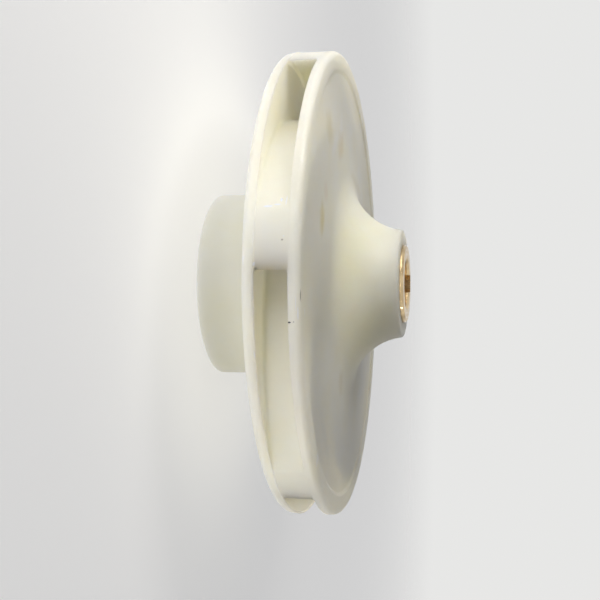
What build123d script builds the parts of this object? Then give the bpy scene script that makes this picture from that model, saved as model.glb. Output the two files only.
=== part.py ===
from build123d import *
from math import radians, tan
import os

# Closed pump impeller: a moulded body with backward-curved vanes, a welded front shroud with
# its eye ring, and a keyed brass insert in the hub.
#
# Millimetres and degrees. The axis is Z. The eye ring's end face lies on Z = 0 with the eye
# open downwards, and the hub points up.

os.makedirs("parts", exist_ok=True)

# Whole impeller
outer_radius = 65.0
rim_bevel = 0.9

# Front shroud: eye ring and cover
eye_radius = 23.0
ring_wall = 3.0
ring_end_bevel = 0.5
ring_root_bevel = 3.0
eye_corner_bevel = 3.5
front_rim_height = 23.3
front_rim_thickness = 2.7
cover_slope = 5.0

# Passages and rear shroud
outlet_width = 8.0
rear_rim_thickness = 2.8
rim_land_width = 5.0
face_recess = 0.5
recess_ramp = 1.0
face_slope = 2.9

# Hub behind the rear shroud
hub_flare_start = 31.7
hub_end_radius = 15.2
hub_end_height = 53.2
hub_end_bevel = 0.5

# Hub nose inside the eye
nose_cone_start = 26.0
nose_radius = 13.2
nose_height = 21.5
nose_bevel = 0.5

# Vanes: each side is two tangent arcs, and a round nose joins the inner ends
vane_count = 6
tip_azimuth = -92.7
tip_land_angle = 12.7
exit_angle = 18.5
outer_arc_radius = 62.0
outer_arc_sweep = 45.0
inlet_step = 6.0
nose_step = 4.2
convex_wrap = 94.9
concave_wrap = 102.8
vane_root_sink = 1.0
tip_overrun_sweep = 9.0
turning_allowance = 1.5

# Brass shaft insert, moulded into the hub
insert_radius = 11.0
insert_stand = 1.0
insert_nose_stand = 0.5
insert_chamfer = 0.5
lock_waist_length = 9.0
lock_flat_distance = 9.2
lock_flat_count = 6
shaft_radius = 7.0
shaft_clearance = 0.01
bore_chamfer = 0.6
key_width = 5.0
key_slot_reach = 9.3

# Radii and heights that follow from the sizes above
ring_radius = eye_radius + ring_wall
vane_inlet_radius = eye_radius + inlet_step
cover_fall = tan(radians(cover_slope))
cover_inner_height = front_rim_height + front_rim_thickness
cover_inner_at_eye = cover_inner_height - (outer_radius - eye_radius) * cover_fall
cover_outer_at_ring = front_rim_height - (outer_radius - ring_radius) * cover_fall
rear_inner_height = cover_inner_height + outlet_width
rear_rim_height = rear_inner_height + rear_rim_thickness
insert_top = hub_end_height + insert_stand
insert_bottom = nose_height - insert_nose_stand
insert_middle = (insert_bottom + insert_top) / 2

# Rear face: a flat land at the rim, a short ramp, then a cone that rises to the flare
land_inner_radius = outer_radius - rim_land_width
face_outer_radius = land_inner_radius - recess_ramp
face_outer_height = rear_rim_height - face_recess
face_rise = tan(radians(face_slope))
flare_start_height = face_outer_height + (face_outer_radius - hub_flare_start) * face_rise

# --- Shaft insert ----------------------------------------------------------------------------
# Outside of the insert. The hub is moulded round this form, so it also makes the hub's cavity.
with BuildPart() as insert_form:
    with BuildSketch(Plane.XY.offset(insert_bottom)):
        Circle(insert_radius)
    extrude(amount=insert_top - insert_bottom)
    chamfer(insert_form.edges().filter_by(GeomType.CIRCLE), insert_chamfer)
    # A hexagonal waist locks the insert in the plastic, along the axis and in torque
    with BuildSketch(Plane.XY.offset(insert_middle - lock_waist_length / 2)):
        Circle(insert_radius)
        RegularPolygon(lock_flat_distance, lock_flat_count, major_radius=False, mode=Mode.SUBTRACT)
    extrude(amount=lock_waist_length, mode=Mode.SUBTRACT)

with BuildPart() as shaft_insert:
    add(insert_form.part)
    with BuildSketch(Plane.XY.offset(insert_bottom)):
        Circle(shaft_radius + shaft_clearance)
    extrude(amount=insert_top - insert_bottom, mode=Mode.SUBTRACT)
    bore_edges = shaft_insert.edges().filter_by(GeomType.CIRCLE)
    bore_edges = bore_edges.filter_by(lambda edge: abs(edge.radius - shaft_radius) < bore_chamfer / 2)
    chamfer(bore_edges, bore_chamfer)
    with BuildSketch(Plane.XY.offset(insert_bottom)):
        Rectangle(key_width, key_slot_reach, align=(Align.CENTER, Align.MIN))
    extrude(amount=insert_top - insert_bottom, mode=Mode.SUBTRACT)

# --- Front shroud ----------------------------------------------------------------------------
with BuildPart() as front_shroud:
    with BuildSketch(Plane.XZ) as shroud_section:
        with BuildLine():
            Polyline(
                (eye_radius, 0),
                (ring_radius, 0),
                (ring_radius, cover_outer_at_ring),
                (outer_radius, front_rim_height),
                (outer_radius, cover_inner_height),
                (eye_radius, cover_inner_at_eye),
                close=True,
            )
        make_face()
        chamfer(shroud_section.vertices().group_by(Axis.Y)[0], ring_end_bevel)
        rim_corner = shroud_section.vertices().sort_by_distance((outer_radius, front_rim_height))[0]
        chamfer(rim_corner, rim_bevel)
        root_corner = shroud_section.vertices().sort_by_distance((ring_radius, cover_outer_at_ring))[0]
        chamfer(root_corner, ring_root_bevel)
        eye_corner = shroud_section.vertices().sort_by_distance((eye_radius, cover_inner_at_eye))[0]
        chamfer(eye_corner, eye_corner_bevel)
    revolve(axis=Axis.Z)

# --- Impeller body ---------------------------------------------------------------------------
# One vane. Both sides start at the ends of the tip's land and run inwards, against the turning
# direction, and both run on past the rim, so that the tips are turned flush with it.
concave_tip = Vector(outer_radius, 0).rotate(Axis.Z, tip_azimuth)
convex_tip = Vector(outer_radius, 0).rotate(Axis.Z, tip_azimuth - tip_land_angle)
concave_heading = Vector(1, 0).rotate(Axis.Z, tip_azimuth - 90 - exit_angle)
convex_heading = Vector(1, 0).rotate(Axis.Z, tip_azimuth - tip_land_angle - 90 - exit_angle)
concave_end = Vector(vane_inlet_radius, 0).rotate(Axis.Z, tip_azimuth - concave_wrap)
convex_end_azimuth = tip_azimuth - tip_land_angle - convex_wrap
convex_end = Vector(vane_inlet_radius + nose_step, 0).rotate(Axis.Z, convex_end_azimuth)
vane_root_height = rear_inner_height + vane_root_sink
blank_radius = outer_radius + turning_allowance
cover_inner_at_blank = cover_inner_height + turning_allowance * cover_fall

with BuildPart() as vane:
    with BuildSketch(Plane.XY.offset(vane_root_height)):
        with BuildLine():
            convex_lead = JernArc(convex_tip, -convex_heading, outer_arc_radius, tip_overrun_sweep)
            convex_outer = JernArc(convex_tip, convex_heading, outer_arc_radius, -outer_arc_sweep)
            convex_inner = TangentArc(convex_outer @ 1, convex_end, tangent=convex_outer % 1)
            concave_lead = JernArc(concave_tip, -concave_heading, outer_arc_radius, tip_overrun_sweep)
            concave_outer = JernArc(concave_tip, concave_heading, outer_arc_radius, -outer_arc_sweep)
            TangentArc(concave_outer @ 1, concave_end, tangent=concave_outer % 1)
            TangentArc(convex_end, concave_end, tangent=convex_inner % 1)
            Line(convex_lead @ 1, concave_lead @ 1)
        make_face()
    extrude(amount=-vane_root_height)
    # Trim to the cover's inner face, which the vane's edge is welded to
    with BuildSketch(Plane.XZ) as passage_section:
        with BuildLine():
            Polyline(
                (0, 0),
                (eye_radius, 0),
                (eye_radius, cover_inner_at_eye),
                (blank_radius, cover_inner_at_blank),
                (blank_radius, vane_root_height),
                (0, vane_root_height),
                close=True,
            )
        make_face()
        eye_corner = passage_section.vertices().sort_by_distance((eye_radius, cover_inner_at_eye))[0]
        chamfer(eye_corner, eye_corner_bevel)
    revolve(axis=Axis.Z, mode=Mode.INTERSECT)

with BuildPart() as impeller_body:
    with BuildSketch(Plane.XZ):
        with BuildLine():
            Polyline(
                (nose_cone_start, rear_inner_height),
                (blank_radius, rear_inner_height),
                (blank_radius, rear_rim_height),
                (land_inner_radius, rear_rim_height),
                (face_outer_radius, face_outer_height),
                (hub_flare_start, flare_start_height),
            )
            TangentArc(
                (hub_flare_start, flare_start_height),
                (hub_end_radius, hub_end_height),
                tangent=(-1, face_rise),
            )
            Polyline(
                (hub_end_radius, hub_end_height),
                (0, hub_end_height),
                (0, nose_height),
                (nose_radius, nose_height),
                (nose_cone_start, rear_inner_height),
            )
        make_face()
    revolve(axis=Axis.Z)
    end_edges = impeller_body.edges().filter_by(GeomType.CIRCLE).sort_by(Axis.Z)
    chamfer(end_edges[-1], hub_end_bevel)
    chamfer(end_edges[0], nose_bevel)
    with PolarLocations(0, vane_count):
        add(vane.part)
    # Turn the rim and the vane tips to the same radius
    with BuildSketch(Plane.XY):
        Circle(blank_radius + turning_allowance)
        Circle(outer_radius, mode=Mode.SUBTRACT)
    extrude(amount=hub_end_height, mode=Mode.SUBTRACT)
    rim_edges = impeller_body.edges().filter_by(GeomType.CIRCLE).filter_by_position(
        Axis.Z, rear_rim_height - rim_bevel / 2, rear_rim_height + rim_bevel / 2
    )
    chamfer(rim_edges.sort_by(SortBy.RADIUS)[-1], rim_bevel)
    add(insert_form.part, mode=Mode.SUBTRACT)

# --- Write the pieces ------------------------------------------------------------------------
impeller_body.part.label = "impeller_body"
front_shroud.part.label = "front_shroud"
shaft_insert.part.label = "shaft_insert"
export_step(impeller_body.part, "parts/impeller_body.step")
export_step(front_shroud.part, "parts/front_shroud.step")
export_step(shaft_insert.part, "parts/shaft_insert.step")
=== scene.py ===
from math import acos, atan2, cos, degrees, pi, radians, sin, tan

import bmesh
import bpy
from mathutils import Matrix, Vector, noise
from mathutils.bvhtree import BVHTree


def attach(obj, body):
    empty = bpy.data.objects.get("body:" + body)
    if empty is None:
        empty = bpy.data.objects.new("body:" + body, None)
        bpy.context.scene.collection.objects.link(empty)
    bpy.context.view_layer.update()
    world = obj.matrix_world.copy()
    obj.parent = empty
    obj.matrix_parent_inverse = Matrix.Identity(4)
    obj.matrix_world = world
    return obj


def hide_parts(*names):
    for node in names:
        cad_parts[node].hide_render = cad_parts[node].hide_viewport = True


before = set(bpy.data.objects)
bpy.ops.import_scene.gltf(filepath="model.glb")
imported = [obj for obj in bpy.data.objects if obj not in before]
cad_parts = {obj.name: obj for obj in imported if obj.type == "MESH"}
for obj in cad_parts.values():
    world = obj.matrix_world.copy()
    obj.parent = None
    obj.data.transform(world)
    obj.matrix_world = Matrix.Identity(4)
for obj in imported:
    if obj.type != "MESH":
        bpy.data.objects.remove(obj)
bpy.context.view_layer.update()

mm = 0.001            # sizes below are in millimetres, and meshes in metres
print("frame loaded:", ", ".join(sorted(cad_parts)))


# small helpers

def polar(radius, azimuth, height=0.0):
    a = radians(azimuth)
    return Vector((radius * cos(a), radius * sin(a), height))


def spun(arm, angle):
    c, s = cos(angle), sin(angle)
    return Vector((arm.x * c - arm.y * s, arm.x * s + arm.y * c))


# corners are (radius, height, rounding) going round a closed section
def roundedProfile(corners, cornerSteps):
    points = []
    count = len(corners)
    for i, (x, y, rounding) in enumerate(corners):
        here = Vector((x, y))
        before = Vector(corners[i - 1][:2])
        after = Vector(corners[(i + 1) % count][:2])
        if rounding <= 0:
            points.append(here)
            continue
        u = (before - here).normalized()
        v = (after - here).normalized()
        half = acos(max(-1, min(1, u.dot(v)))) / 2
        reach = rounding / tan(half)
        centre = here + (u + v).normalized() * (rounding / sin(half))
        start = here + u * reach - centre
        end = here + v * reach - centre
        turn = atan2(start.cross(end), start.dot(end))
        points += [centre + spun(start, turn * k / cornerSteps) for k in range(cornerSteps + 1)]
    return points


# points of the arc that leaves start along direction and reaches end
def arcFrom(start, direction, end, steps):
    start, end = Vector(start), Vector(end)
    direction = Vector(direction).normalized()
    chord = end - start
    normal = Vector((-direction.y, direction.x))
    radius = chord.length_squared / (2 * chord.dot(normal))
    centre = start + normal * radius
    turn = 2 * atan2(chord.dot(normal), chord.dot(direction))
    return [centre + spun(start - centre, turn * k / steps) for k in range(steps + 1)]


def smoothEdges(mesh, sharpDegrees=30):
    mesh.shade_smooth()
    mesh.set_sharp_from_angle(angle=radians(sharpDegrees))


def finishMesh(name, bm, sharpDegrees=30):
    bmesh.ops.recalc_face_normals(bm, faces=bm.faces)
    mesh = bpy.data.meshes.new(name)
    bm.to_mesh(mesh)
    bm.free()
    smoothEdges(mesh, sharpDegrees)
    piece = bpy.data.objects.new(name, mesh)
    bpy.context.scene.collection.objects.link(piece)
    return piece


# turns a closed section, in mm, into a solid of revolution about Z
def spinProfile(name, profile, steps, wobble=None):
    bm = bmesh.new()
    rings = []
    for i in range(steps):
        a = 2 * pi * i / steps
        ring = []
        for p in profile:
            r, z = p.x, p.y
            if wobble:
                r, z = wobble(r, z, a)
            ring.append(bm.verts.new((r * cos(a) * mm, r * sin(a) * mm, z * mm)))
        rings.append(ring)
    count = len(profile)
    for i in range(steps):
        now, then = rings[i], rings[(i + 1) % steps]
        for j in range(count):
            k = (j + 1) % count
            bm.faces.new((now[j], then[j], then[k], now[k]))
    return finishMesh(name, bm)


def addBoolean(piece, other, operation, solver):
    modifier = piece.modifiers.new("shapeWith", "BOOLEAN")
    modifier.object = other
    modifier.operation = operation
    modifier.solver = solver


def applyModifiers(piece):
    bpy.context.view_layer.update()
    shaped = piece.evaluated_get(bpy.context.evaluated_depsgraph_get())
    piece.data = bpy.data.meshes.new_from_object(shaped)
    piece.modifiers.clear()


# camera

cameraSet = {
    "place": (0.0, -0.27204, 0.08109),
    "looksAt": (0.0047, 0.0, 0.0231),
    "lens": 57.38,
    "sensor": 36.0,
    "tiltDegrees": 0.06,
    "nearClip": 0.01,
    "pictureSize": 600,
}
cameraData = bpy.data.cameras.new("mainCamera")
cameraData.lens = cameraSet["lens"]
cameraData.sensor_width = cameraSet["sensor"]
cameraData.clip_start = cameraSet["nearClip"]
camera = bpy.data.objects.new("mainCamera", cameraData)
bpy.context.scene.collection.objects.link(camera)
place = Vector(cameraSet["place"])
forward = (Vector(cameraSet["looksAt"]) - place).normalized()
right = forward.cross(Vector((-1, 0, 0))).normalized()  # the axis lies across the picture
up = right.cross(forward)
turned = Matrix((right, up, -forward)).transposed()
turned = turned @ Matrix.Rotation(-radians(cameraSet["tiltDegrees"]), 3, "Z")
camera.matrix_world = Matrix.Translation(place) @ turned.to_4x4()
bpy.context.scene.camera = camera
bpy.context.scene.view_settings.view_transform = "Standard"
print("camera placed")


# the place that shows at a pixel of the picture, on the nearest of some pieces
def spotAt(pixel, trees):
    half = cameraSet["pictureSize"] / 2
    side = cameraSet["sensor"] / 2
    across = Vector(((pixel[0] - half) / half * side, (half - pixel[1]) / half * side, -cameraSet["lens"]))
    ray = (turned.to_4x4() @ across).normalized()
    hits = [tree.ray_cast(place, ray) for tree in trees]
    near = min((hit for hit in hits if hit[0] is not None), key=lambda hit: hit[3])
    return near[0]


# rear shroud and hub

body = {
    "outerRadius": 65.0,
    "rimRound": 1.6,
    "passageRoot": 34.0,      # height of the passages' rear wall
    "rimThickness": 2.8,
    "landWidth": 5.0,
    "recess": 0.5,
    "rampWidth": 1.0,
    "faceSlope": 2.9,
    "flareStart": 31.7,
    "hubRadius": 15.2,
    "hubHeight": 53.2,
    "hubRound": 0.7,
    "noseRadius": 13.2,
    "noseHeight": 21.5,
    "noseRound": 0.8,
    "noseConeStart": 26.0,
    "noseConeFillet": 5.0,
    "insertRadius": 11.0,
    "insertGap": 0.02,        # the hub stays clear of the insert by this much
    "edgeRound": 0.25,
    "landRound": 0.5,
    "rampRound": 1.2,
    "flareSteps": 26,
    "cornerSteps": 7,
    "steps": 320,
}


def bodyProfile(b):
    rimTop = b["passageRoot"] + b["rimThickness"]
    landInner = b["outerRadius"] - b["landWidth"]
    faceOuter = landInner - b["rampWidth"]
    faceHeight = rimTop - b["recess"]
    rise = tan(radians(b["faceSlope"]))
    flareHeight = faceHeight + (faceOuter - b["flareStart"]) * rise
    hubEnd = (b["hubRadius"], b["hubHeight"])
    flare = arcFrom((b["flareStart"], flareHeight), (-1, rise), hubEnd, b["flareSteps"])
    cavity = b["insertRadius"] + b["insertGap"]
    corners = [
        (b["outerRadius"], b["passageRoot"], b["edgeRound"]),
        (b["outerRadius"], rimTop, b["rimRound"]),
        (landInner, rimTop, b["landRound"]),
        (faceOuter, faceHeight, b["rampRound"]),
    ]
    corners += [(p.x, p.y, 0) for p in flare[:-1]]
    corners += [
        (*hubEnd, b["hubRound"]),
        (cavity, b["hubHeight"], b["edgeRound"]),
        (cavity, b["noseHeight"], b["edgeRound"]),
        (b["noseRadius"], b["noseHeight"], b["noseRound"]),
        (b["noseConeStart"], b["passageRoot"], b["noseConeFillet"]),
    ]
    return roundedProfile(corners, b["cornerSteps"])


rearBody = spinProfile("rearBody", bodyProfile(body), body["steps"])
print("rear shroud and hub made")


# front shroud with its eye ring

cover = {
    "eyeRadius": 23.0,
    "ringWall": 3.0,
    "ringEndRound": 0.8,
    "rootFillet": 5.0,
    "rimFront": 23.3,
    "rimBack": 26.0,
    "weldEdgeRound": 0.3,
    "slope": 5.0,
    "eyeRound": 7.0,
    "cornerSteps": 9,
}


def coverProfile(c, outer, rimRound):
    fall = tan(radians(c["slope"]))
    ring = c["eyeRadius"] + c["ringWall"]
    return roundedProfile([
        (c["eyeRadius"], 0, c["ringEndRound"]),
        (ring, 0, c["ringEndRound"]),
        (ring, c["rimFront"] - (outer - ring) * fall, c["rootFillet"]),
        (outer, c["rimFront"], rimRound),
        (outer, c["rimBack"], c["weldEdgeRound"]),
        (c["eyeRadius"], c["rimBack"] - (outer - c["eyeRadius"]) * fall, c["eyeRound"]),
    ], c["cornerSteps"])


coverSection = coverProfile(cover, body["outerRadius"], body["rimRound"])
frontCover = spinProfile("frontCover", coverSection, body["steps"])
print("front shroud made")


# vanes

vanes = {
    "count": 6,
    "tipAzimuth": -92.7,
    "landAngle": 12.7,
    "exitAngle": 18.5,
    "outerArc": (62.0, 45.0),     # radius and sweep
    "inletRadius": 29.0,
    "noseStep": 4.2,
    "convexWrap": 94.9,
    "concaveWrap": 102.8,
    "overrun": 12.0,              # degrees of the outer arc past the rim, before the cut
    "rootFillet": 0.35,
    "frontFillet": 0.9,
    "wallSink": 0.6,              # how far the vanes reach into the walls
    "middleLevels": (0.4, 0.7),   # shares of the way from the front to the root
    "landSink": 0.03,             # the lands lie a hair under the rims
    "sideSteps": (44, 32),        # on the outer and on the inner arc
    "noseSteps": 16,
    "filletSteps": (6, 4),        # at the front and at the root
    "outlinePoints": 150,
    "landSteps": 14,
    "sharpDegrees": 40,
}


# one side of a vane in plan, from past the rim to its inner end
def vaneSide(v, azimuth, endRadius, endAzimuth, outer):
    tip = polar(outer, azimuth).to_2d()
    heading = polar(1, azimuth - 90 - v["exitAngle"]).to_2d()
    radius, sweep = v["outerArc"]
    centre = tip + Vector((heading.y, -heading.x)) * radius
    start, finish = v["overrun"], -sweep
    steps, innerSteps = v["sideSteps"]
    points = []
    for k in range(steps + 1):
        a = radians(start + (finish - start) * k / steps)
        points.append(centre + spun(tip - centre, a))
    direction = spun(heading, radians(-sweep))
    end = polar(endRadius, endAzimuth).to_2d()
    return points + arcFrom(points[-1], direction, end, innerSteps)[1:]


# moves a line of points sideways, to its left
def shifted(points, distance):
    moved = []
    for i, p in enumerate(points):
        along = points[min(i + 1, len(points) - 1)] - points[max(i - 1, 0)]
        moved.append(p + Vector((-along.y, along.x)).normalized() * distance)
    return moved


# drops the points before a line first comes inside the rim, and starts it on the rim
def cutAtRim(points, rim):
    halvings = 30
    for i in range(len(points) - 1):
        a, b = points[i], points[i + 1]
        if a.length >= rim > b.length:
            low, high = 0.0, 1.0
            for _ in range(halvings):
                middle = (low + high) / 2
                if a.lerp(b, middle).length > rim:
                    low = middle
                else:
                    high = middle
            return [a.lerp(b, high)] + points[i + 1:]
    return points


def vaneOutline(v, spread, rim):
    convexAzimuth = v["tipAzimuth"] - v["landAngle"]
    convex = vaneSide(v, convexAzimuth, v["inletRadius"] + v["noseStep"],
                      convexAzimuth - v["convexWrap"], body["outerRadius"])
    concave = vaneSide(v, v["tipAzimuth"], v["inletRadius"],
                       v["tipAzimuth"] - v["concaveWrap"], body["outerRadius"])
    heading = convex[-1] - convex[-2]
    nose = arcFrom(convex[-1], heading, concave[-1], v["noseSteps"])
    whole = shifted(convex + nose[1:] + concave[::-1][1:], spread)
    # the line is cut at both its ends
    whole = cutAtRim(whole, rim)
    return cutAtRim(whole[::-1], rim)[::-1]


# the same line with a fixed number of points, evenly spaced
def fixedCount(points, count):
    lengths = [0.0]
    for a, b in zip(points, points[1:]):
        lengths.append(lengths[-1] + (b - a).length)
    out, j = [], 0
    for k in range(count):
        t = lengths[-1] * k / (count - 1)
        while j < len(points) - 2 and lengths[j + 1] < t:
            j += 1
        part = (t - lengths[j]) / max(lengths[j + 1] - lengths[j], 1e-9)
        out.append(points[j].lerp(points[j + 1], min(1, max(0, part))))
    return out


def coverInside(radius):
    return cover["rimBack"] - (body["outerRadius"] - radius) * tan(radians(cover["slope"]))


# levels of a vane from the cover to the rear shroud: where the height counts from,
# how far it is from there, and how much the outline spreads
def vaneLevels(v):
    frontSteps, rootSteps = v["filletSteps"]
    fillet = v["frontFillet"]
    levels = [("front", -v["wallSink"], fillet)]
    for k in range(frontSteps, -1, -1):
        a = radians(90 * k / frontSteps)
        levels.append(("front", fillet * (1 - sin(a)), fillet * (1 - cos(a))))
    levels += [("share", share, 0.0) for share in v["middleLevels"]]
    fillet = v["rootFillet"]
    for k in range(rootSteps + 1):
        a = radians(90 * k / rootSteps)
        levels.append(("root", fillet * (1 - sin(a)), fillet * (1 - cos(a))))
    levels.append(("root", -v["wallSink"], fillet))
    return levels


# points on the rim that close an outline, from its last point back to its first
def landPoints(line, rim, steps):
    last, first = line[-1], line[0]
    a0, a1 = degrees(atan2(last.y, last.x)), degrees(atan2(first.y, first.x))
    if a0 < a1:
        a0 += 360
    # the short way round
    if a0 - a1 > 180:
        a0, a1 = a1 + 360, a0
    return [polar(rim, a0 + (a1 - a0) * k / steps).to_2d() for k in range(1, steps)]


def levelHeight(kind, distance, radius):
    front = coverInside(radius)
    if kind == "front":
        return front + distance
    if kind == "share":
        return front + (body["passageRoot"] - front) * distance
    return body["passageRoot"] - distance


def makeVanes(v):
    bm = bmesh.new()
    rim = body["outerRadius"] - v["landSink"]
    levels = vaneLevels(v)
    outlines = {}
    for spread in {level[2] for level in levels}:
        line = fixedCount(vaneOutline(v, spread, rim), v["outlinePoints"])
        outlines[spread] = line + landPoints(line, rim, v["landSteps"])
    for n in range(v["count"]):
        turn = Matrix.Rotation(2 * pi * n / v["count"], 2)
        rings = []
        for kind, distance, spread in levels:
            ring = []
            for p in outlines[spread]:
                q = turn @ p
                z = levelHeight(kind, distance, p.length)
                ring.append(bm.verts.new((q.x * mm, q.y * mm, z * mm)))
            rings.append(ring)
        for low, high in zip(rings, rings[1:]):
            for i in range(len(low)):
                j = (i + 1) % len(low)
                bm.faces.new((low[i], low[j], high[j], high[i]))
        bm.faces.new(rings[0][::-1])
        bm.faces.new(rings[-1])
    return finishMesh("vanes", bm, v["sharpDegrees"])


vanePiece = makeVanes(vanes)
print("vanes made")

bpy.context.view_layer.update()
shapes = bpy.context.evaluated_depsgraph_get()
trees = [BVHTree.FromObject(piece, shapes) for piece in (rearBody, frontCover, vanePiece)]


# weld bead between the vanes' lands and the cover, and the burrs round one land

weld = {
    "radius": 64.80,
    "height": 26.06,
    "size": 0.30,
    "sides": 10,
    "steps": 480,
    "proudOnLand": 0.13,
    "proudElsewhere": 0.02,
    "landOverrun": 1.2,       # degrees that the proud stretch runs past a land
    "landFade": 1.6,          # degrees over which it starts and ends
    "ripple": 0.07,
    "quietRipple": 0.35,      # share of the ripple away from the lands
    "drift": 0.10,            # how far the bead wanders along the axis
    # waves and layer of the noise: each layer has its own pattern
    "rippleNoise": (34, 3.0),
    "fineNoise": (120, 8.0),
    "fineShare": 0.5,
    "driftNoise": (20, 15.0),
    # pixel, half sizes along the axis and round the rim, proud of the rim
    "burrs": [
        ((266, 206.6), 0.55, 0.26, 0.07),
        ((270.5, 205.4), 0.62, 0.22, 0.06),
        ((276, 204.6), 0.5, 0.16, 0.05),
        ((281.4, 199.6), 0.34, 0.46, 0.07),
        ((285, 201.5), 0.4, 0.22, 0.05),
        ((253.6, 263.5), 0.36, 0.55, 0.10),
        ((255.4, 268.5), 0.5, 0.25, 0.07),
    ],
    "burrCells": 3,
    "burrLumps": 0.35,
    "burrLumpSize": 1.7,
    "burrLumpStep": 7.0,      # the noise moves on by this from burr to burr
    # how far a burr's outer half stands out, how far it all sinks in, and how far its root reaches
    "burrRise": 1.6,
    "burrSink": 0.6,
    "burrRoot": 0.4,
    "burrSharpDegrees": 60,
}


# 1 on the vanes' lands, 0 between them
def landShare(azimuth, w):
    pitch = 360 / vanes["count"]
    middle = vanes["tipAzimuth"] - vanes["landAngle"] / 2
    away = abs((azimuth - middle + pitch / 2) % pitch - pitch / 2)
    return max(0.0, min(1.0, (vanes["landAngle"] / 2 + w["landOverrun"] - away) / w["landFade"]))


# noise that closes on itself round the axis
def noiseRound(a, waves, layer):
    return noise.noise(Vector((cos(a) * waves, sin(a) * waves, layer)))


def makeWeldBead(w):
    def wobble(r, z, a):
        rough = noiseRound(a, *w["rippleNoise"]) + w["fineShare"] * noiseRound(a, *w["fineNoise"])
        share = landShare(degrees(a), w)
        proud = w["proudElsewhere"] + (w["proudOnLand"] - w["proudElsewhere"]) * share
        ripple = w["ripple"] * (w["quietRipple"] + (1 - w["quietRipple"]) * share)
        return r + proud + ripple * rough, z + w["drift"] * noiseRound(a, *w["driftNoise"])

    section = []
    for k in range(w["sides"]):
        a = 2 * pi * k / w["sides"]
        section.append(Vector((w["radius"] + w["size"] * cos(a), w["height"] + w["size"] * sin(a))))
    return spinProfile("weldBead", section, w["steps"], wobble)


def makeBurrs(w):
    bm = bmesh.new()
    for n, (pixel, wide, tall, proud) in enumerate(w["burrs"]):
        spot = spotAt(pixel, trees)
        out = Vector((spot.x, spot.y, 0)).normalized()
        along = Vector((-out.y, out.x, 0))
        shift = Vector((n * w["burrLumpStep"], 0, 0))
        shape = bmesh.ops.create_icosphere(bm, subdivisions=w["burrCells"], radius=1.0)
        for vert in shape["verts"]:
            p = vert.co.copy()
            p *= 1 + w["burrLumps"] * noise.noise(p * w["burrLumpSize"] + shift)
            # the outer half stands proud, and the inner half reaches into the rim
            if p.x > 0:
                stand = (p.x * w["burrRise"] - w["burrSink"]) * proud
            else:
                stand = p.x * w["burrRoot"] - w["burrSink"] * proud
            vert.co = spot + (out * stand + along * p.y * tall + Vector((0, 0, p.z * wide))) * mm
    return finishMesh("burrs", bm, w["burrSharpDegrees"])


weldBead = makeWeldBead(weld)
burrs = makeBurrs(weld)
print("weld bead and burrs made")


# brass insert

insert = {
    "radius": 11.0,
    "top": 54.2,
    "bottom": 21.0,
    "edge": 0.5,
    "boreRadius": 7.01,
    "boreEdge": 0.6,
    "keyWidth": 5.0,
    "keyReach": 9.3,
    "cutterMargin": 2.0,      # how far the key slot's cutter passes both ends
    "cornerRound": 0.08,
    "cornerSteps": 3,
    "steps": 160,
}


def insertProfile(s):
    r, b, e, c = s["radius"], s["boreRadius"], s["edge"], s["boreEdge"]
    soft = s["cornerRound"]
    return roundedProfile([
        (b, s["bottom"] + c, soft), (b + c, s["bottom"], soft),
        (r - e, s["bottom"], soft), (r, s["bottom"] + e, soft),
        (r, s["top"] - e, soft), (r - e, s["top"], soft),
        (b + c, s["top"], soft), (b, s["top"] - c, soft),
    ], s["cornerSteps"])


def cutKeySlot(piece, s):
    half = s["keyWidth"] / 2
    margin = s["cutterMargin"]
    bm = bmesh.new()
    plan = [(-half, 0), (half, 0), (half, s["keyReach"]), (-half, s["keyReach"])]
    low = [bm.verts.new((x * mm, y * mm, (s["bottom"] - margin) * mm)) for x, y in plan]
    high = [bm.verts.new((x * mm, y * mm, (s["top"] + margin) * mm)) for x, y in plan]
    bm.faces.new(low[::-1])
    bm.faces.new(high)
    for i in range(4):
        bm.faces.new((low[i], low[(i + 1) % 4], high[(i + 1) % 4], high[i]))
    cutter = finishMesh("keyCutter", bm)
    addBoolean(piece, cutter, "DIFFERENCE", "EXACT")
    applyModifiers(piece)
    bpy.data.objects.remove(cutter)
    smoothEdges(piece.data)


brassInsert = spinProfile("brassInsert", insertProfile(insert), insert["steps"])
cutKeySlot(brassInsert, insert)
print("brass insert made")


# node groups that several finishes share

def newGroup(name, inputs, outputs):
    group = bpy.data.node_groups.new(name, "ShaderNodeTree")
    for label, kind, value in inputs:
        socket = group.interface.new_socket(label, in_out="INPUT", socket_type=kind)
        socket.default_value = value
    for label, kind in outputs:
        group.interface.new_socket(label, in_out="OUTPUT", socket_type=kind)
    nodes, links = group.nodes, group.links
    return group, nodes, links, nodes.new("NodeGroupInput"), nodes.new("NodeGroupOutput")


# a number or colour is written on the socket, and anything else is linked to it
def feed(links, socket, value):
    if isinstance(value, tuple):
        socket.default_value = (*value, 1)
    elif isinstance(value, (int, float)):
        socket.default_value = value
    else:
        links.new(value, socket)


def mathNode(nodes, links, operation, a, b, clamp=False):
    node = nodes.new("ShaderNodeMath")
    node.operation = operation
    node.use_clamp = clamp
    feed(links, node.inputs[0], a)
    feed(links, node.inputs[1], b)
    return node.outputs[0]


def vectorMath(nodes, links, operation, *values):
    node = nodes.new("ShaderNodeVectorMath")
    node.operation = operation
    for socket, value in zip(node.inputs, values):
        links.new(value, socket)
    return node.outputs["Value"] if operation == "LENGTH" else node.outputs[0]


# takes a value from one range to another
def rangeNode(nodes, links, value, source, target=(0.0, 1.0), soft=False):
    node = nodes.new("ShaderNodeMapRange")
    node.interpolation_type = "SMOOTHSTEP" if soft else "LINEAR"
    labels = ("Value", "From Min", "From Max", "To Min", "To Max")
    for label, setting in zip(labels, (value, *source, *target)):
        feed(links, node.inputs[label], setting)
    return node.outputs[0]


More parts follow.
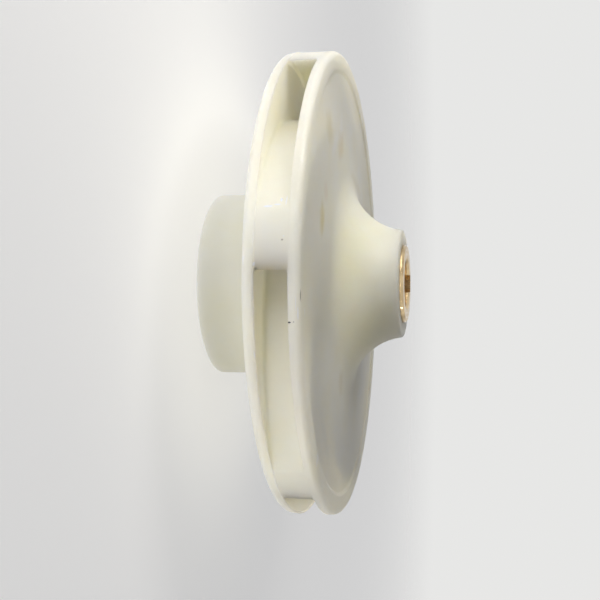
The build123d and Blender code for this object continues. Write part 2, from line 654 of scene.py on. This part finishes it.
def noiseNode(nodes, links, place, scale, detail, roughness=0.5):
    node = nodes.new("ShaderNodeTexNoise")
    links.new(place, node.inputs["Vector"])
    feed(links, node.inputs["Scale"], scale)
    node.inputs["Detail"].default_value = detail
    node.inputs["Roughness"].default_value = roughness
    return node.outputs[0]


def mixColour(nodes, links, share, a, b):
    node = nodes.new("ShaderNodeMix")
    node.data_type = "RGBA"
    node.clamp_factor = True
    # inputs 6 and 7 are the two colours, and output 2 is the mixed one
    for number, value in ((0, share), (6, a), (7, b)):
        feed(links, node.inputs[number], value)
    return node.outputs[2]


# a grey ramp through (position, shade) stops
def rampNode(nodes, links, value, stops):
    node = nodes.new("ShaderNodeValToRGB")
    links.new(value, node.inputs[0])
    for element, (position, shade) in zip(node.color_ramp.elements, stops):
        element.position = position
        element.color = (shade, shade, shade, 1)
    return node.outputs[0]


# slow tone changes, fine grain and the low waves of a moulded surface
def makeMouldedVariation():
    group, nodes, links, ins, outs = newGroup(
        "mouldedVariation",
        [("Cloud Size", "NodeSocketFloat", 60.0), ("Grain Size", "NodeSocketFloat", 1600.0)],
        [("Tone", "NodeSocketFloat"), ("Grain", "NodeSocketFloat"), ("Height", "NodeSocketFloat")])
    waveSize, grainShare, waveShare = 260, 0.25, 0.75
    place = nodes.new("ShaderNodeTexCoord").outputs["Object"]
    cloud = noiseNode(nodes, links, place, ins.outputs["Cloud Size"], 4, 0.55)
    grain = noiseNode(nodes, links, place, ins.outputs["Grain Size"], 3)
    waves = noiseNode(nodes, links, place, waveSize, 2)
    height = mathNode(nodes, links, "ADD",
                      mathNode(nodes, links, "MULTIPLY", grain, grainShare),
                      mathNode(nodes, links, "MULTIPLY", waves, waveShare))
    links.new(cloud, outs.inputs["Tone"])
    links.new(grain, outs.inputs["Grain"])
    links.new(height, outs.inputs["Height"])
    return group


# a mask along convex edges, broken up by noise
def makeEdgeWear():
    group, nodes, links, ins, outs = newGroup(
        "edgeWear",
        [("Low", "NodeSocketFloat", 0.52), ("High", "NodeSocketFloat", 0.62),
         ("Break Up", "NodeSocketFloat", 400.0)],
        [("Mask", "NodeSocketFloat")])
    edges = nodes.new("ShaderNodeNewGeometry").outputs["Pointiness"]
    sharp = rangeNode(nodes, links, edges, (ins.outputs["Low"], ins.outputs["High"]))
    place = nodes.new("ShaderNodeTexCoord").outputs["Object"]
    patch = noiseNode(nodes, links, place, ins.outputs["Break Up"], 3)
    broken = rampNode(nodes, links, patch, [(0.35, 0.25), (0.62, 1.0)])
    links.new(mathNode(nodes, links, "MULTIPLY", sharp, broken, True), outs.inputs["Mask"])
    return group


# a soft-edged oval patch at a place, turned about Z
def makeSoftPatch():
    group, nodes, links, ins, outs = newGroup(
        "softPatch",
        [("Centre", "NodeSocketVector", (0, 0, 0)), ("Size", "NodeSocketVector", (0.001, 0.001, 0.001)),
         ("Turn", "NodeSocketFloat", 0.0), ("Soft", "NodeSocketFloat", 0.5),
         ("Ragged", "NodeSocketFloat", 0.2)],
        [("Mask", "NodeSocketFloat")])
    place = nodes.new("ShaderNodeTexCoord").outputs["Object"]
    moved = vectorMath(nodes, links, "SUBTRACT", place, ins.outputs["Centre"])
    turned = nodes.new("ShaderNodeVectorRotate")
    turned.rotation_type = "Z_AXIS"
    links.new(moved, turned.inputs["Vector"])
    links.new(ins.outputs["Turn"], turned.inputs["Angle"])
    scaled = vectorMath(nodes, links, "DIVIDE", turned.outputs[0], ins.outputs["Size"])
    raggedSize, middleNoise = 1.6, 0.5
    rough = noiseNode(nodes, links, scaled, raggedSize, 2)
    rough = mathNode(nodes, links, "SUBTRACT", rough, middleNoise)
    shift = mathNode(nodes, links, "MULTIPLY", rough, ins.outputs["Ragged"])
    away = mathNode(nodes, links, "ADD", vectorMath(nodes, links, "LENGTH", scaled), shift)
    inner = mathNode(nodes, links, "SUBTRACT", 1.0, ins.outputs["Soft"])
    links.new(rangeNode(nodes, links, away, (inner, 1.0), (1.0, 0.0), True), outs.inputs["Mask"])
    return group


softPatch = makeSoftPatch()
mouldedVariation = makeMouldedVariation()
edgeWear = makeEdgeWear()


def newMaterial(name):
    material = bpy.data.materials.new(name)
    material.use_nodes = True
    nodes, links = material.node_tree.nodes, material.node_tree.links
    return material, nodes, links, nodes["Principled BSDF"]


def useGroup(nodes, group, **values):
    node = nodes.new("ShaderNodeGroup")
    node.node_tree = group
    for label, value in values.items():
        node.inputs[label].default_value = value
    return node


# finishes

plastic = {
    "pale": (0.975, 0.94, 0.80),
    "deep": (0.965, 0.90, 0.69),
    "edge": (0.95, 0.94, 0.91),
    "toneStops": [(0.3, 0.0), (0.75, 1.0)],
    "roughness": (0.34, 0.50),
    "grainRange": (0.3, 0.7),
    "bump": 0.06,
    "bumpDepth": 0.0004,
    # how much light travels under the surface, how far, and how far each colour goes
    "glow": 1.0,
    "glowReach": 0.012,
    "glowSpread": (1.0, 0.93, 0.78),
    "ior": 1.49,
    "shine": 0.3,
    "bodyClouds": 55.0,
    "coverClouds": 70.0,
}

marksAndPaintedLight = {
    "rimSoft": 0.45,
    "rimRagged": 0.7,
    "rimDepth": 12.0,
    "faceSoft": 0.85,
    "faceRagged": 0.5,
    "faceDepth": 5.0,         # marks reach this deep, so that they show on curved places too
    # on the rims and the ring: pixel, half sizes (around, along the axis), colour, strength; the dark ones
    # are specks, and the white ones are painted highlights
    "bodyRims": [
        ((289.0, 322.5), (0.22, 0.50), (0.03, 0.025, 0.02), 1.0),
        ((293.5, 322.0), (0.14, 0.22), (0.30, 0.26, 0.18), 0.7),
        # white: painted highlights along the burr line on the rear rim
        ((297.9, 313.5), (1.9, 0.16), (1.0, 1.0, 1.0), 0.8),
        ((295.6, 304.0), (2.2, 0.12), (1.0, 1.0, 1.0), 0.5),
        ((282.0, 239.6), (0.26, 0.34), (0.50, 0.42, 0.30), 0.8),
        # white: a painted highlight beside the speck
        ((283.5, 236.0), (0.20, 0.20), (1.0, 1.0, 1.0), 0.6),
        # white: painted highlights where the burrs round the land catch the light
        ((268.0, 206.2), (0.32, 1.3), (1.0, 1.0, 1.0), 0.9),
        ((277.5, 204.4), (0.26, 1.0), (1.0, 1.0, 1.0), 0.7),
        ((281.6, 199.8), (0.55, 0.30), (1.0, 1.0, 1.0), 1.0),
        ((286.5, 200.5), (1.4, 0.22), (1.0, 1.0, 1.0), 0.7),
        ((253.8, 264.0), (0.60, 0.35), (1.0, 1.0, 1.0), 0.9),
    ],
    "coverRingHighlights": [
        # white: painted highlight lines along the eye ring
        ((211.2, 287.0), (4.2, 0.16), (1.0, 1.0, 1.0), 0.45),
        ((203.0, 300.0), (5.0, 0.22), (1.0, 1.0, 1.0), 0.35),
    ],
    # on the rear face: from pixel, to pixel, half width, colour, strength; two of the darker ones are
    # painted shade from the hub
    "rearFace": [
        ((300.7, 288.0), (300.5, 302.5), 0.55, (0.16, 0.12, 0.07), 0.8),
        ((342.5, 117.0), (340.0, 136.0), 3.0, (1.0, 0.97, 0.86), 0.8),
        ((338.5, 134.0), (331.0, 156.0), 2.4, (1.0, 0.97, 0.86), 0.8),
        ((331.0, 121.0), (329.0, 137.0), 6.5, (0.72, 0.64, 0.42), 0.65),
        ((343.5, 139.0), (338.5, 155.0), 4.6, (0.72, 0.60, 0.40), 0.65),
        ((323.0, 200.0), (321.5, 236.0), 3.4, (0.74, 0.64, 0.34), 0.8),
        ((327.0, 186.0), (325.0, 198.0), 3.5, (0.85, 0.68, 0.50), 0.35),
        # painted shadow that the hub's flare casts, a darker band towards the hub's top
        ((348.0, 166.0), (362.0, 200.0), 3.0, (0.74, 0.68, 0.50), 0.35),
        # painted shade at the lower tip of the hub's shadow
        ((340.0, 372.0), (341.5, 394.0), 3.5, (0.66, 0.58, 0.38), 0.4),
        ((318.0, 400.0), (330.0, 470.0), 3.0, (0.80, 0.80, 0.70), 0.3),
    ],
}


# the marks, painted highlights and painted shade of one finish, laid over its base colour
def addMarksAndPaintedLight(nodes, links, base, rims, faces):
    for pixel, half, colour, strength in rims:
        patch = useGroup(nodes, softPatch, Soft=marksAndPaintedLight["rimSoft"], Ragged=marksAndPaintedLight["rimRagged"])
        patch.inputs["Centre"].default_value = spotAt(pixel, trees)
        patch.inputs["Size"].default_value = (half[0] * mm, marksAndPaintedLight["rimDepth"] * mm, half[1] * mm)
        share = mathNode(nodes, links, "MULTIPLY", patch.outputs["Mask"], strength)
        base = mixColour(nodes, links, share, base, colour)
    for start, end, half, colour, strength in faces:
        a, b = spotAt(start, trees), spotAt(end, trees)
        length = (b - a).length / 2 + half * mm / 2
        patch = useGroup(nodes, softPatch, Soft=marksAndPaintedLight["faceSoft"], Ragged=marksAndPaintedLight["faceRagged"])
        patch.inputs["Centre"].default_value = (a + b) / 2
        patch.inputs["Size"].default_value = (length, half * mm, marksAndPaintedLight["faceDepth"] * mm)
        patch.inputs["Turn"].default_value = -atan2(b.y - a.y, b.x - a.x)
        share = mathNode(nodes, links, "MULTIPLY", patch.outputs["Mask"], strength)
        base = mixColour(nodes, links, share, base, colour)
    return base


def bumpNormal(nodes, links, height, strength, distance):
    bump = nodes.new("ShaderNodeBump")
    bump.inputs["Strength"].default_value = strength
    bump.inputs["Distance"].default_value = distance
    links.new(height, bump.inputs["Height"])
    return bump.outputs[0]


def ivoryPlastic(name, p, clouds, rims, faces):
    material, nodes, links, shader = newMaterial(name)
    tone = useGroup(nodes, mouldedVariation, **{"Cloud Size": p[clouds]})
    wear = useGroup(nodes, edgeWear)
    share = rampNode(nodes, links, tone.outputs["Tone"], p["toneStops"])
    base = mixColour(nodes, links, share, p["pale"], p["deep"])
    base = mixColour(nodes, links, wear.outputs["Mask"], base, p["edge"])
    base = addMarksAndPaintedLight(nodes, links, base, rims, faces)
    links.new(base, shader.inputs["Base Color"])
    rough = rangeNode(nodes, links, tone.outputs["Grain"], p["grainRange"], p["roughness"])
    links.new(rough, shader.inputs["Roughness"])
    normal = bumpNormal(nodes, links, tone.outputs["Height"], p["bump"], p["bumpDepth"])
    links.new(normal, shader.inputs["Normal"])
    shader.inputs["Subsurface Weight"].default_value = p["glow"]
    shader.inputs["Subsurface Radius"].default_value = p["glowSpread"]
    shader.inputs["Subsurface Scale"].default_value = p["glowReach"]
    shader.inputs["IOR"].default_value = p["ior"]
    shader.inputs["Specular IOR Level"].default_value = p["shine"]
    return material


bodyPlastic = ivoryPlastic("bodyPlastic", plastic, "bodyClouds", marksAndPaintedLight["bodyRims"], marksAndPaintedLight["rearFace"])
coverPlastic = ivoryPlastic("coverPlastic", plastic, "coverClouds", marksAndPaintedLight["coverRingHighlights"], [])

brass = {
    "bright": (0.74, 0.57, 0.34),
    "dull": (0.42, 0.31, 0.17),
    "cloudSize": 240.0,
    "toneStops": [(0.35, 0.0), (0.7, 1.0)],
    "roughness": (0.16, 0.34),
    "turnLines": 260.0,
    "turnWander": 0.6,
    "bump": 0.12,
    "bumpDepth": 0.0001,
}


def turnedBrass(name, p):
    material, nodes, links, shader = newMaterial(name)
    tone = useGroup(nodes, mouldedVariation, **{"Cloud Size": p["cloudSize"]})
    lines = nodes.new("ShaderNodeTexWave")
    lines.wave_type = "RINGS"
    lines.rings_direction = "Z"
    lines.inputs["Scale"].default_value = p["turnLines"]
    lines.inputs["Distortion"].default_value = p["turnWander"]
    links.new(nodes.new("ShaderNodeTexCoord").outputs["Object"], lines.inputs["Vector"])
    share = rampNode(nodes, links, tone.outputs["Tone"], p["toneStops"])
    links.new(mixColour(nodes, links, share, p["bright"], p["dull"]), shader.inputs["Base Color"])
    shader.inputs["Metallic"].default_value = 1
    rough = rangeNode(nodes, links, lines.outputs["Fac"], (0.0, 1.0), p["roughness"])
    links.new(rough, shader.inputs["Roughness"])
    normal = bumpNormal(nodes, links, lines.outputs["Fac"], p["bump"], p["bumpDepth"])
    links.new(normal, shader.inputs["Normal"])
    return material


insertBrass = turnedBrass("insertBrass", brass)
print("finishes made")


# the plastic pieces as one welded mesh

join = {
    "sliver": 2e-6,           # metres: shorter edges are closed up
    "sharpDegrees": 34,
    "normalWeight": 60,
}


# joins solids into the first one and drops the others
def unite(target, *others):
    for other in others:
        addBoolean(target, other, "UNION", "MANIFOLD")
    applyModifiers(target)
    for other in others:
        bpy.data.objects.remove(other)
    # faces with more than four corners can have corners in a row, which split into slivers
    bm = bmesh.new()
    bm.from_mesh(target.data)
    bmesh.ops.triangulate(bm, faces=[face for face in bm.faces if len(face.verts) > 4])
    bmesh.ops.dissolve_degenerate(bm, dist=join["sliver"], edges=bm.edges)
    bm.to_mesh(target.data)
    bm.free()
    smoothEdges(target.data, join["sharpDegrees"])
    evenNormals = target.modifiers.new("evenNormals", "WEIGHTED_NORMAL")
    evenNormals.keep_sharp = True
    evenNormals.weight = join["normalWeight"]
    return target


finishes = {
    bodyPlastic: (rearBody, vanePiece),
    coverPlastic: (frontCover, weldBead, burrs),
    insertBrass: (brassInsert,),
}
for material, pieces in finishes.items():
    for piece in pieces:
        piece.data.materials.append(material)
welded = unite(rearBody, vanePiece, frontCover, weldBead, burrs)
welded.name = "weldedImpeller"
print("plastic pieces welded:", len(welded.data.polygons), "faces", [m.name for m in welded.data.materials])

for piece, slotName in ((welded, "body_plastic"), (brassInsert, "insert_brass")):
    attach(piece, "root")
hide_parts("impeller_body", "front_shroud")
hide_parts("shaft_insert")


# floor, world and lamps

studio = {
    "floorColour": (0.46, 0.465, 0.475),
    "floorPale": (0.78, 0.785, 0.80),
    "floorSize": 4.0,
    "floorCells": 24,
    "floorRoughness": 0.8,
    "fade": (0.12, 0.95),      # the floor melts into the backdrop between these distances
    "backdrop": (0.80, 0.80, 0.79),
    "floorLift": 0.63,         # pale floor for the eye alone
    "floorGlow": 0.58,         # light that the floor gives the part from below
    "skyLight": (0.33, 0.315, 0.28),
    "lowLight": (0.020, 0.014, 0.007),
    "skyTurn": (0.2, -1.0),    # from this X to this X the low light turns into the sky light
    "keyPlace": (-1.00, -0.38, 0.22),
    "keyTarget": (0, 0, 0.028),
    "keySize": (0.80, 0.42),
    "keyPower": 1.85,
    "facePlace": (-0.20, -0.09, 0.17),
    "faceTarget": (-0.03, 0, 0.035),
    "faceSize": (0.12, 0.12),
    "facePower": 0.34,
    "faceColour": (1.0, 0.95, 0.86),
    "stripHeight": 0.029,      # low lamps with narrow beams that pass under the hub
    "stripReach": 0.60,
    "stripSize": (0.18, 0.022),
    "stripBeam": 4.5,
    # azimuth, power, colour
    "strips": [
        (-160, 0.0009, (1.0, 0.98, 0.97)),
        (-130, 0.0009, (1.0, 0.98, 0.96)),
        (-100, 0.0009, (1.0, 0.96, 0.92)),
        (-84, 0.0022, (1.0, 0.96, 0.90)),
        (-68, 0.0010, (1.0, 0.94, 0.84)),
        (-40, 0.0018, (1.0, 0.93, 0.80)),
        (-14, 0.0038, (1.0, 0.92, 0.76)),
    ],
}


def makeFloor(s):
    bm = bmesh.new()
    cells = s["floorCells"]
    half = s["floorSize"] / 2
    across = [-half + 2 * half * i / cells for i in range(cells + 1)]
    grid = [[bm.verts.new((x, y, 0)) for y in across] for x in across]
    for i in range(cells):
        for j in range(cells):
            bm.faces.new((grid[i][j], grid[i + 1][j], grid[i + 1][j + 1], grid[i][j + 1]))
    floor = finishMesh("studioFloor", bm)
    material, nodes, links, shader = newMaterial("studioFloor")
    shader.inputs["Base Color"].default_value = (*s["floorColour"], 1)
    shader.inputs["Roughness"].default_value = s["floorRoughness"]
    away = vectorMath(nodes, links, "LENGTH", nodes.new("ShaderNodeTexCoord").outputs["Object"])
    fade = rangeNode(nodes, links, away, s["fade"], (1.0, 0.0), True)
    # only the eye sees it fade: as a light the floor stays whole
    path = nodes.new("ShaderNodeLightPath")
    unseen = mathNode(nodes, links, "SUBTRACT", 1, path.outputs["Is Camera Ray"])
    links.new(mathNode(nodes, links, "MAXIMUM", fade, unseen), shader.inputs["Alpha"])
    lift = mathNode(nodes, links, "MAXIMUM", path.outputs["Is Camera Ray"], path.outputs["Is Glossy Ray"])
    shader.inputs["Emission Color"].default_value = (*s["floorPale"], 1)
    seen = mathNode(nodes, links, "MULTIPLY", lift, s["floorLift"] - s["floorGlow"])
    links.new(mathNode(nodes, links, "ADD", seen, s["floorGlow"]), shader.inputs["Emission Strength"])
    floor.data.materials.append(material)


def makeWorld(s):
    world = bpy.data.worlds.new("studioWorld")
    bpy.context.scene.world = world
    world.use_nodes = True
    nodes, links = world.node_tree.nodes, world.node_tree.links
    nodes.clear()
    out = nodes.new("ShaderNodeOutputWorld")
    light = nodes.new("ShaderNodeBackground")
    # soft light falls from the -X side and fades to a warm low light on the other
    side = nodes.new("ShaderNodeSeparateXYZ")
    links.new(nodes.new("ShaderNodeTexCoord").outputs["Generated"], side.inputs[0])
    share = rangeNode(nodes, links, side.outputs["X"], s["skyTurn"], soft=True)
    links.new(mixColour(nodes, links, share, s["lowLight"], s["skyLight"]), light.inputs["Color"])
    seen = nodes.new("ShaderNodeBackground")
    seen.inputs["Color"].default_value = (*s["backdrop"], 1)
    seen.inputs["Strength"].default_value = 1.0
    # the eye, glass and reflections see the pale backdrop, and the rest is lit by the sky
    path = nodes.new("ShaderNodeLightPath")
    shown = path.outputs["Is Camera Ray"]
    for ray in ("Is Transmission Ray", "Is Glossy Ray"):
        shown = mathNode(nodes, links, "ADD", shown, path.outputs[ray], True)
    mix = nodes.new("ShaderNodeMixShader")
    links.new(shown, mix.inputs[0])
    links.new(light.outputs[0], mix.inputs[1])
    links.new(seen.outputs[0], mix.inputs[2])
    links.new(mix.outputs[0], out.inputs[0])


def softLamp(name, place, target, size, power, colour=(1, 1, 1)):
    data = bpy.data.lights.new(name, "AREA")
    data.shape = "RECTANGLE"
    data.size, data.size_y = size
    data.energy = power
    data.color = colour
    lamp = bpy.data.objects.new(name, data)
    bpy.context.scene.collection.objects.link(lamp)
    lamp.location = place
    lamp.rotation_euler = (Vector(target) - Vector(place)).to_track_quat("-Z", "Y").to_euler()
    return lamp


makeFloor(studio)
makeWorld(studio)
softLamp("keyLamp", studio["keyPlace"], studio["keyTarget"], studio["keySize"], studio["keyPower"])
for azimuth, power, colour in studio["strips"]:
    spot = polar(studio["stripReach"], azimuth, studio["stripHeight"])
    target = (0, 0, studio["stripHeight"])
    strip = softLamp("stripLamp", spot, target, studio["stripSize"], power, colour)
    strip.data.spread = radians(studio["stripBeam"])
softLamp("faceLamp", studio["facePlace"], studio["faceTarget"], studio["faceSize"],
         studio["facePower"], studio["faceColour"])
print("studio lit")
